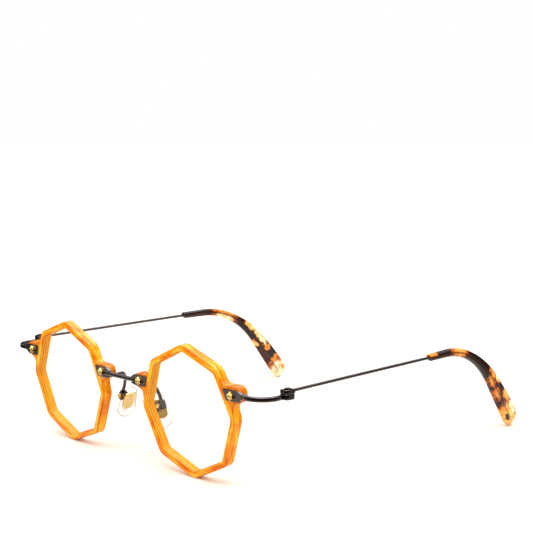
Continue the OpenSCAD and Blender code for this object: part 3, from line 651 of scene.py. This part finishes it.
hingeX = glasses["rimSpacing"] / 2 + outerScrew[0] + barShape["hingeOut"]
hingeY = glasses["frontY"] + barShape["hingeBack"]
lowerLeafZ = barZ + barShape["height"] / 2 + leafShape["seat"] - leafShape["lower"]
upperLeafZ = lowerLeafZ + leafShape["lower"] + leafShape["gap"]


def atLug(outer, out=0, up=0):
    # the frame of one side's rim; the inner lug is drawn outward too and then flipped
    return (onRim if outer else onRim @ flipX) @ shift(out, up, 0)


def plateOutline(outer):
    s, screw = plateShape, outerScrew if outer else innerScrew
    h = s["height"] / 2
    v = screw[1]
    slant = tan(rad(s["slant"])) * h
    near = screw[0] - s["near"]
    far = screw[0] + (rimShape["outerReach"] + s["neckPast"] if outer else s["reach"])
    end = far - s["neck"] if outer else far
    if outer:
        mid, nose = v + barShape["rise"], barShape["height"] / 2
        tail = [(end, mid - nose, s["neckRound"]), (far, mid - nose, 0), (far, mid + nose, 0),
                (end, mid + nose, s["neckRound"])]
    else:
        # a fork that holds the bridge bar's end
        fork, corner = bridgeShape, bridgeShape["prongRound"]
        mid, root = v - fork["drop"], end - fork["inside"]
        half, nose = fork["diameter"] / 2 + fork["room"], fork["diameter"] / 2 + fork["prong"]
        tail = [(end, mid - nose, corner), (end, mid - half, 0), (root, mid - half, 0),
                (root, mid + half, 0), (end, mid + half, 0), (end, mid + nose, corner)]
    above, below = s["slopes"]
    return roundedOutline([(near - slant, v + h, s["cornerRound"]), (near + slant, v - h, s["cornerRound"]),
                           (end - below, v - h, s["neckRound"])]
                          + tail + [(end - above, v + h, s["neckRound"])])


def platePart(outer):
    s = plateShape
    part = slab(plateOutline(outer), s["under"] - s["recess"], s["thickness"] - s["recess"], s["backEdge"],
                s["edge"] if outer else s["bridgeEdge"])
    return moved(part, atLug(outer))


def barPart(s):
    ring = roundedBox(s["thickness"] / 2, s["height"] / 2, s["round"])
    startX = (glasses["rimSpacing"] / 2 + outerScrew[0] + rimShape["outerReach"] + plateShape["neckPast"]
              - plateShape["neck"] + s["start"])
    startY = (glasses["frontY"] + outerScrew[0] * sin(rad(glasses["wrap"]))
              - glasses["outerScrewV"] * sin(rad(glasses["lean"]))
              + plateShape["recess"] - plateShape["thickness"] / 2)
    bendX, bendY = hingeX - s["bend"], startY + s["bend"]
    endY = hingeY - leafShape["length"] / 2 + s["round"]
    rings = [[(startX, startY - p.x, barZ + p.y) for p in ring]]
    for k in range(s["steps"] + 1):
        a = rad(-90 + 90 * k / s["steps"])
        rings.append([(bendX + (s["bend"] + p.x) * cos(a), bendY + (s["bend"] + p.x) * sin(a),
                       barZ + p.y) for p in ring])
    rings.append([(hingeX + p.x, endY, barZ + p.y) for p in ring])
    return turnedOut(skin(rings))


def leafPart(s, thickness, rearRound, base):
    w, l = s["width"] / 2, s["length"] / 2
    outline = roundedOutline([(w, l, rearRound), (-w, l, rearRound), (-w, -l, s["innerRound"]),
                              (w, -l, s["frontRound"])], 8)
    part = slab(outline, 0, thickness, s["edge"], s["edge"])
    return moved(part, shift(hingeX, hingeY, base))


def discPart(radius, low, high, edge=0.1, sides=40):
    turns = [rad(360 * i / sides) for i in range(sides)]
    outline = [Vector((radius * cos(a), radius * sin(a))) for a in turns]
    return slab(outline, low, high, min(edge, 0.05), edge)


def slottedPart(radius, bore, low, slotFloor, high, slotWidth, edge, steps=24):
    # disc with a slot across its high end; the slot's floor is a full disc, and the cheeks sink into it
    half, sunk, sharp = slotWidth / 2, 0.02, 0.01
    cheek = []
    for r, turns in ((radius, range(steps + 1)), (bore, range(steps, -1, -1))):
        if r > half:
            a0 = asin(half / r)
            angles = [a0 + (pi - 2 * a0) * i / steps for i in turns]
            cheek += [Vector((r * cos(a), r * sin(a))) for a in angles]
    upper = slab(cheek, slotFloor - sunk, high, sharp, edge, 3)
    lower = moved(upper, spin(180, "Z"))
    return [discPart(radius, low, slotFloor, sharp), upper, lower]


hingeScrewShape = {
    "radius": 1.05, "slotFloor": 0.15, "head": 0.35, "slotWidth": 0.3, "edge": 0.08, "shank": 0.6,
    "under": 0.05, "foot": 0.2, "overlap": 0.1,
}


def hingeScrewPart(s):
    seat = upperLeafZ + leafShape["upper"] + s["under"]
    parts = slottedPart(s["radius"], 0, seat, seat + s["slotFloor"], seat + s["head"], s["slotWidth"],
                        s["edge"])
    parts.append(discPart(s["shank"], lowerLeafZ + s["foot"], seat + s["overlap"]))
    return [moved(part, shift(hingeX, hingeY, 0)) for part in parts]


def bridgePart(s):
    out = innerScrew[0] + plateShape["reach"]
    half = glasses["rimSpacing"] / 2 - innerScrew[0] - plateShape["reach"] + s["inside"] - s["endRoom"]
    depth = plateShape["recess"] - s["room"] - s["diameter"] / 2 - out * sin(rad(glasses["wrap"]))
    place = onFront @ shift(0, depth, glasses["innerScrewV"] - s["drop"]) @ spin(90, "Y")
    return moved(discPart(s["diameter"] / 2, -half, half, s["edge"]), place)


rim, rimAcrossAndShade = rimPart(rimShape)
bothSides("rim", [onFloor(moved(rim, onRim))], honeyAcetate, uvs=rimAcrossAndShade)
# a thin band with the painted shade where each lens meets its rim
bothSides("lens_seam_shade", [moved(seamPart(rimShape), onRim)], seam, replaced=False)
lowerLeaf = leafPart(leafShape, leafShape["lower"], leafShape["lowerRound"], lowerLeafZ)
bothSides("end_piece", [platePart(True), barPart(barShape), lowerLeaf], gunmetal)
bothSides("bridge_plate", [platePart(False)], gunmetal)
makePiece("bridge_bar_piece", [bridgePart(bridgeShape)], gunmetal, "front", ["bridge_bar"])
bothSides("hinge_screw", hingeScrewPart(hingeScrewShape), gunmetal)
print("rims, plates and end pieces made")

# Points and hollows are radii before their corners are rounded. The dish in the middle of the head is
# given as steps of radius and depth.
starShape = {
    "points": 1.5, "hollows": 1.13, "pointRound": 0.16, "hollowRound": 0.2, "height": 0.8, "edge": 0.12,
    "backEdge": 0.02, "shank": 1.6, "overlap": 0.1,
    "dish": [(0.86, 0.0), (0.82, 0.04), (0.66, 0.22), (0.5, 0.33), (0.42, 0.35), (0.2, 0.35)],
}


def starPart(s, outer):
    screw = outerScrew if outer else innerScrew
    front = plateShape["thickness"] - plateShape["recess"]
    corners = []
    for i in range(12):
        r, corner = (s["points"], s["pointRound"]) if i % 2 == 0 else (s["hollows"], s["hollowRound"])
        corners.append((-r * sin(rad(30 * i)), r * cos(rad(30 * i)), corner))
    outline = roundedOutline(corners, 5)
    rings = ringsUp(outline, edgeLevels(front, front + s["height"], s["backEdge"], s["edge"], 5))
    turns = [atan2(p.y, p.x) for p in outline]
    for radius, drop in s["dish"]:
        z = front + s["height"] - drop
        rings.append([(radius * cos(a), radius * sin(a), z) for a in turns])
    place = atLug(outer, *screw)
    shank = discPart(s["shank"] / 2, -glasses["rimDepth"], front + s["overlap"])
    return [moved(skin(rings), place), moved(shank, place)]


bothSides("outer_bolt", starPart(starShape, True), gold)
bothSides("inner_bolt", starPart(starShape, False), gold)

nutShape = {
    "diameter": 3.3, "bore": 0.83, "thickness": 1.0, "out": 0.2, "slotWidth": 0.5, "slotDepth": 0.35,
    "edge": 0.12,
}


def nutPart(s, outer):
    screw = outerScrew if outer else innerScrew
    back = glasses["rimDepth"] + s["out"]
    place = atLug(outer, *screw) @ spin(180, "X")
    parts = slottedPart(s["diameter"] / 2, s["bore"], back - s["out"] - s["thickness"],
                        back - s["slotDepth"], back, s["slotWidth"], s["edge"])
    return [moved(part, place) for part in parts]


bothSides("outer_nut", nutPart(nutShape, True), gunmetal)
bothSides("inner_nut", nutPart(nutShape, False), gunmetal)
print("bolts and nuts made")

wireShape = {
    "diameter": 1.15, "pitch": 0.8, "splay": 1.3, "tipSplay": 3.5, "templeLength": 145.0, "up": 0.05,
    "sunk": 0.3, "steps": 50,
}
# deeper: how much the visible tip is widened upward, from where to where along it. Slant: how far the
# softened start leans, and over what length. Ends: (distance along, scale) of the softened start.
tipShape = {
    "lead": 10.7, "bendRadius": 37.5, "bend": 53.0, "start": (2.7, 2.5), "finish": (5.1, 3.1),
    "coreShort": 3.6, "deeper": 2.9, "deeperFrom": 26.0, "deeperTo": 62.0, "growth": 1.2, "corner": 0.42,
    "slant": 0.45, "slantLength": 6, "ends": [(0.0, 0.72), (0.03, 0.86), (0.12, 0.95), (0.3, 1.0)],
    "bodyStart": 0.4, "bodySteps": 90, "endLength": 4.8, "endSteps": 12, "endPower": 0.65, "endLeast": 0.02,
    "footSunk": 0.1,
}
wireZ = upperLeafZ + wireShape["diameter"] / 2 + wireShape["up"]
pitch = rad(wireShape["pitch"])
tipSlope = rad(tipShape["bend"]) - pitch
tipEndZ = tipShape["finish"][0] / 2 * (1 - sin(tipSlope)) - tipShape["footSunk"]
tipArc = tipShape["bendRadius"] * rad(tipShape["bend"])
hingeStart = leafShape["length"] / 2 - wireShape["sunk"]
# the straight end of the tip is as long as it takes to reach the ground
tipLeg = ((wireZ - tipEndZ + (wireShape["templeLength"] - hingeStart - tipArc) * sin(pitch)
           + tipShape["bendRadius"] * (cos(tipSlope) - cos(pitch)))
          / (sin(tipSlope) + sin(pitch)))
tipLength = tipShape["lead"] + tipArc + tipLeg
wireLength = wireShape["templeLength"] - hingeStart - tipLength
onWire = (shift(hingeX, hingeY + hingeStart, wireZ) @ spin(wireShape["splay"], "Z")
          @ spin(wireShape["pitch"], "X"))
onTip = (shift(*onWire @ Vector((0, wireLength, 0))) @ spin(wireShape["tipSplay"], "Z")
         @ spin(wireShape["pitch"], "X"))


def tubePart(path, radius, sides=24):
    rings = []
    across = None
    for i, p in enumerate(path):
        ahead = (path[min(i + 1, len(path) - 1)] - path[max(i - 1, 0)]).normalized()
        if across is None:
            upright = Vector((0, 0, 1)) if abs(ahead.z) < 0.9 else Vector((1, 0, 0))
            across = ahead.cross(upright).normalized()
        across = (across - ahead * across.dot(ahead)).normalized()
        up = across.cross(ahead)
        turns = [rad(360 * j / sides) for j in range(sides)]
        rings.append([p + radius * (across * cos(a) + up * sin(a)) for a in turns])
    points, faces = skin(rings)
    a, b, c = (points[i] for i in faces[0][:3])
    inward = (b - a).cross(c - a).dot(a - path[0]) < 0
    return turnedOut((points, faces)) if inward else (points, faces)


def tipLine(s, shape):
    # place of the tip's middle line at distance s: along, up and how far it has bent, in degrees
    bend = min(max((s - shape["lead"]) / tipArc, 0), 1) * shape["bend"]
    lead, leg = min(s, shape["lead"]), max(s - shape["lead"] - tipArc, 0)
    along = lead + shape["bendRadius"] * sin(rad(bend)) + leg * cos(rad(bend))
    up = -shape["bendRadius"] * (1 - cos(rad(bend))) - leg * sin(rad(bend))
    return along, up, bend


def tipPart(shape):
    # a softened start, the body and a round end
    steps = list(shape["ends"])
    bodyLength = tipLength - shape["endLength"] - shape["bodyStart"]
    for i in range(shape["bodySteps"] + 1):
        steps.append((shape["bodyStart"] + i / shape["bodySteps"] * bodyLength, 1.0))
    for i in range(1, shape["endSteps"] + 1):
        a = rad(90 / shape["endSteps"] * i)
        steps.append((tipLength - shape["endLength"] * (1 - sin(a)),
                      max(cos(a) ** shape["endPower"], shape["endLeast"])))
    rings, uvs = [], []
    for s, scale in steps:
        along, up, bend = tipLine(s, shape)
        height, width = (a + (b - a) * (s / tipLength) ** shape["growth"]
                         for a, b in zip(shape["start"], shape["finish"]))
        t = max(0, min(1, (s - shape["deeperFrom"]) / (shape["deeperTo"] - shape["deeperFrom"])))
        extra = shape["deeper"] * t * t * (3 - 2 * t)
        height, width, lift = (height + extra) * scale, width * scale, extra / 2
        slant = max(1 - s / shape["slantLength"], 0) * shape["slant"]
        ring = roundedBox(width / 2, height / 2, min(height, width) * shape["corner"], 7)
        rings.append([(p.x, along + (p.y + lift) * sin(rad(bend)) - p.y * slant,
                       up + (p.y + lift) * cos(rad(bend))) for p in ring])
        uvs += [(s / 1000, (p.y + lift) / 1000) for p in ring]    # metres along and up, for the patches
    return turnedOut(skin(rings)), uvs


def templePath(shape):
    # the wire, straight to the tip and then along its middle
    path = [onWire @ Vector((0, 0, 0)), onWire @ Vector((0, wireLength * 0.5, 0))]
    for i in range(shape["steps"]):
        along, up, bend = tipLine((tipLength - tipShape["coreShort"]) * i / (shape["steps"] - 1), tipShape)
        path.append(onTip @ Vector((0, along, up)))
    return path


upperLeaf = leafPart(leafShape, leafShape["upper"], leafShape["upperRound"], upperLeafZ)
wire = tubePart(templePath(wireShape), wireShape["diameter"] / 2)
bothSides("temple", [upperLeaf, wire], gunmetal, "temple")
tip, tipUvs = tipPart(tipShape)
bothSides("temple_tip", [onFloor(moved(tip, onTip))], tortoiseAcetate, "temple", uvs=tipUvs)
print("temples and tips made")

padShape = {
    "length": 13.0, "width": 7.6, "thickness": 2.4, "tilt": 26, "back": 1.2, "down": 1.3, "plane": -2.5,
    "out": 4.7, "screwBack": 7.9, "screwDrop": 2.6, "topShare": 0.36, "topIn": 0.3, "round": 0.95,
    "steps": 27,
}
plateEndX = glasses["rimSpacing"] / 2 - innerScrew[0] - plateShape["reach"]
padPivot = Vector((plateEndX + padShape["out"], glasses["frontY"] + padShape["screwBack"],
                   rimZ - padShape["screwDrop"]))
onPad = shift(*padPivot) @ spin(-padShape["tilt"], "Y")
onScrew = onPad @ spin(90, "X")
padFace = (onPad @ shift(padShape["plane"], padShape["back"], -padShape["down"]) @ spin(90, "X")
           @ spin(90, "Y"))


def bezier(points, t):
    while len(points) > 1:
        points = [a * (1 - t) + b * t for a, b in zip(points, points[1:])]
    return points[0]


# a bent wire: out of the bridge plate, back and over, and down into the box
armShape = {
    "diameter": 1.25, "in": 0.35, "gap": 0.03, "first": 1.6, "over": (-1.6, 4.8, 0.6),
    "top": (-0.1, 5.8, 1.8), "above": (-2.55, 0.25, 5.55), "last": 2, "boxOut": 0.75, "boxUp": 1.5,
    "steps": 40,
}


def armPart(s):
    v = innerScrew[1] - bridgeShape["drop"] - bridgeShape["diameter"] / 2
    out = innerScrew[0] + plateShape["reach"]
    back = plateShape["recess"] + s["gap"] - out * sin(rad(glasses["wrap"]))
    lean, tilt = rad(glasses["lean"]), rad(padShape["tilt"])
    start = Vector((plateEndX + s["in"], glasses["frontY"] + back * cos(lean) - v * sin(lean),
                    rimZ + back * sin(lean) + v * cos(lean)))
    up = Vector((-sin(tilt), 0, cos(tilt)))
    end = padPivot + s["boxOut"] * Vector((cos(tilt), 0, sin(tilt))) + s["boxUp"] * up
    controls = [start, start + s["first"] * Vector((0, cos(lean), sin(lean))),
                start + Vector(s["over"]), start + Vector(s["top"]), end + Vector(s["above"]),
                end + s["last"] * up, end]
    return tubePart([bezier(controls, i / s["steps"]) for i in range(s["steps"] + 1)], s["diameter"] / 2)


# U-shaped box round the tab, open towards the nose: its back, its mouth and half its width
boxShape = {
    "back": 1.45, "mouth": -0.95, "half": 1.4, "inside": 0.95, "floor": 1.0, "backRound": 0.8,
    "mouthRound": 0.12, "lipRound": 0.08, "floorRound": 0.3, "height": 2.9, "edge": 0.1,
}


def boxPart(s):
    upper = [(s["back"], s["half"], s["backRound"]), (s["mouth"], s["half"], s["mouthRound"]),
             (s["mouth"], s["inside"], s["lipRound"]), (s["floor"], s["inside"], s["floorRound"])]
    outline = roundedOutline(upper + [(x, -y, r) for x, y, r in reversed(upper)])
    return moved(sheet(outline, s["height"], s["edge"]), onPad)


padScrewShape = {
    "radius": 0.85, "low": 1.43, "slotFloor": 1.75, "high": 1.93, "slotWidth": 0.25, "edge": 0.1,
    "shank": 0.4, "shankLow": -1.4, "shankHigh": 1.5,
}


def padScrewPart(s):
    parts = slottedPart(s["radius"], 0, s["low"], s["slotFloor"], s["high"], s["slotWidth"], s["edge"])
    parts.append(discPart(s["shank"], s["shankLow"], s["shankHigh"]))
    return [moved(part, onScrew) for part in parts]


def siliconePart(s):
    # egg-shaped outline: a small round top and a large round foot
    topRadius, lowRadius = s["width"] * s["topShare"], s["width"] / 2
    outline = []
    for middle, radius, first, turn in (((-s["topIn"], s["length"] / 2 - topRadius), topRadius, -4, 188),
                                        ((0, lowRadius - s["length"] / 2), lowRadius, 184, 172)):
        for k in range(s["steps"] + 1):
            a = rad(first + turn * k / s["steps"])
            outline.append(Vector(middle) + radius * Vector((cos(a), sin(a))))
    return moved(sheet(outline, s["thickness"], s["round"], 6), padFace)


# gold plate inside the silicone, with a tab that hangs on the screw
coreShape = {
    "topHalf": 2.7, "topEnd": 3.9, "topRound": 1.6, "lowHalf": 2.35, "lowEnd": -3.1, "lowRound": 2.2,
    "thickness": 0.7, "edge": 0.15, "tabHalf": 0.85, "tabThick": 1.6, "tabRound": 0.1, "knuckleEdge": 0.08,
}


def corePart(s):
    corners = [(s["lowHalf"], s["lowEnd"], s["lowRound"]), (s["topHalf"], s["topEnd"], s["topRound"])]
    outline = roundedOutline(corners + [(-x, y, r) for x, y, r in reversed(corners)], 8)
    plate = sheet(outline, s["thickness"], s["edge"])
    tabCorners = [(0.0, 1), (padShape["plane"], 1), (padShape["plane"], -1), (0.0, -1)]
    tabOutline = roundedOutline([(x, side * s["tabHalf"], s["tabRound"]) for x, side in tabCorners], 3)
    tab = sheet(tabOutline, s["tabThick"], s["tabRound"])
    knuckle = discPart(s["tabHalf"], -s["tabThick"] / 2, s["tabThick"] / 2, s["knuckleEdge"])
    return [moved(plate, padFace), moved(tab, onScrew), moved(knuckle, onScrew)]


bothSides("pad_arm", [armPart(armShape)], gunmetal)
bothSides("pad_box", [boxPart(boxShape)], gunmetal)
bothSides("pad_screw", padScrewPart(padScrewShape), gold)
# the left core takes the pale gold painted darker, as if in shade
bothSides("pad_core", corePart(coreShape), (shadedPaleGold, paleGold), "pad")
bothSides("nose_pad", [siliconePart(padShape)], clearSilicone, "pad")
print("nose pads made")

# Camera where the photograph's lower view was taken from
cameraSettings = {
    "place": (348.36, -333.66, 119.62), "azimuth": 46.222, "elevation": 6.583, "roll": 0.007, "lens": 83.6,
}


def makeCamera(s):
    az, el, roll = rad(s["azimuth"]), rad(s["elevation"]), rad(s["roll"])
    ahead = Vector((-sin(az) * cos(el), cos(az) * cos(el), -sin(el)))
    right = Vector((cos(az), sin(az), 0))
    up = right.cross(ahead)
    across = right * cos(roll) + up * sin(roll)
    top = across.cross(ahead)
    camera = newObject("camera", bpy.data.cameras.new("camera"))
    camera.data.lens = s["lens"]
    camera.data.sensor_width = 36
    camera.data.clip_start = 0.01
    turned = Matrix((across, top, -ahead)).transposed().to_4x4()
    camera.matrix_world = shift(*(c / 1000 for c in s["place"])) @ turned
    bpy.context.scene.camera = camera


makeCamera(cameraSettings)

# room: the white all round; dark: what metals mirror near the horizon; overhead: the white above. The
# two bands are heights of the sky, 0 at the horizon and 1 overhead. Where the floor's painted dark
# reflection starts and ends, and the floor's half width, are in metres.
studio = {
    "floor": [(0.3, "#F5F4F3"), (0.7, "#F8F7F6")], "floorMm": 1.1, "floorHalf": 6,
    "mirroredDark": "#1C1C1E", "mirroredDarkNear": 0.1, "mirroredDarkFar": 0.22,
    "room": 1.0, "dark": 0.03, "darkBand": (0.45, 0.2), "overhead": 5.0, "overheadBand": (0.66, 0.86),
    "fill": "#FFF2E4", "sun": 1.1, "sunAngle": 40, "sunTilt": (18, 12),
}


def makeFloor(s):
    half = s["floorHalf"]
    mesh = bpy.data.meshes.new("floor")
    corners = [(-half, -half, 0), (half, -half, 0), (half, half, 0), (-half, half, 0)]
    mesh.from_pydata(corners, [], [(0, 1, 2, 3)])
    material, tree = newMaterial("matt white paper sweep")
    coord = addNode(tree, "TexCoord")
    ramp = addGrain(tree, coord, s["floor"], s["floorMm"])
    # painted reflection: seen in a mirror, the floor turns near black a little way out, standing in for
    # dark surroundings
    out = addNode(tree, "VectorMath", {"operation": "LENGTH"}, {0: coord.outputs["Object"]})
    mirroredDark = addNode(tree, "MapRange", {"From Min": s["mirroredDarkNear"], "From Max": s["mirroredDarkFar"]},
                    {"Value": out})
    sight = addNode(tree, "LightPath")
    mirrored = addNode(tree, "Math", {"operation": "MULTIPLY"},
                       {0: mirroredDark, 1: sight.outputs["Is Glossy Ray"]})
    mix = addNode(tree, "Mix", {"data_type": "RGBA", 7: linear(s["mirroredDark"])}, {0: mirrored, 6: ramp})
    shader = addNode(tree, "BsdfPrincipled", {"Roughness": 0.9, "Specular IOR Level": 0.1},
                     {"Base Color": mix})
    mesh.materials.append(finished(material, shader))
    newObject("floor", mesh)


def makeRoom(s):
    # the room is white, but what the piece mirrors of it is dark near the horizon
    world = bpy.data.worlds.new("studio")
    world.use_nodes = True
    tree = world.node_tree
    tree.nodes.clear()
    coord = addNode(tree, "TexCoord")
    height = addNode(tree, "SeparateXYZ", None, {"Vector": coord.outputs["Generated"]})
    bands = []
    for band, start, end in ((s["darkBand"], s["room"], s["dark"]),
                             (s["overheadBand"], 1.0, s["overhead"])):
        bands.append(addNode(tree, "MapRange",
                             {"interpolation_type": "SMOOTHSTEP", "From Min": band[0], "From Max": band[1],
                              "To Min": start, "To Max": end}, {"Value": height.outputs["Z"]}))
    mirrored = addNode(tree, "Math", {"operation": "MULTIPLY"}, {0: bands[0], 1: bands[1]})
    sight = addNode(tree, "LightPath")
    seen = addNode(tree, "Math", {"operation": "MAXIMUM"},
                   {0: sight.outputs["Is Camera Ray"], 1: sight.outputs["Is Transmission Ray"]})
    straight = addNode(tree, "Math", {"operation": "MAXIMUM"},
                       {0: seen, 1: sight.outputs["Is Diffuse Ray"]})
    strength = addNode(tree, "Mix", {"data_type": "FLOAT", 3: 1.0}, {0: straight, 2: mirrored})
    # the fill light is warm, which shows in the shadows
    colour = addNode(tree, "Mix", {"data_type": "RGBA", 6: (1, 1, 1, 1), 7: linear(s["fill"])},
                     {0: sight.outputs["Is Diffuse Ray"]})
    glow = addNode(tree, "Background", None, {"Color": colour, "Strength": strength})
    addNode(tree, "OutputWorld", None, {"Surface": glow})
    bpy.context.scene.world = world


def makeSoftbox(s):
    light = newObject("wide overhead softbox", bpy.data.lights.new("wide overhead softbox", "SUN"))
    light.data.energy = s["sun"]
    light.data.angle = rad(s["sunAngle"])
    light.rotation_euler = (rad(s["sunTilt"][0]), rad(s["sunTilt"][1]), 0)


makeFloor(studio)
makeRoom(studio)
makeSoftbox(studio)
bpy.context.scene.view_settings.view_transform = "Standard"
print("camera and studio set")
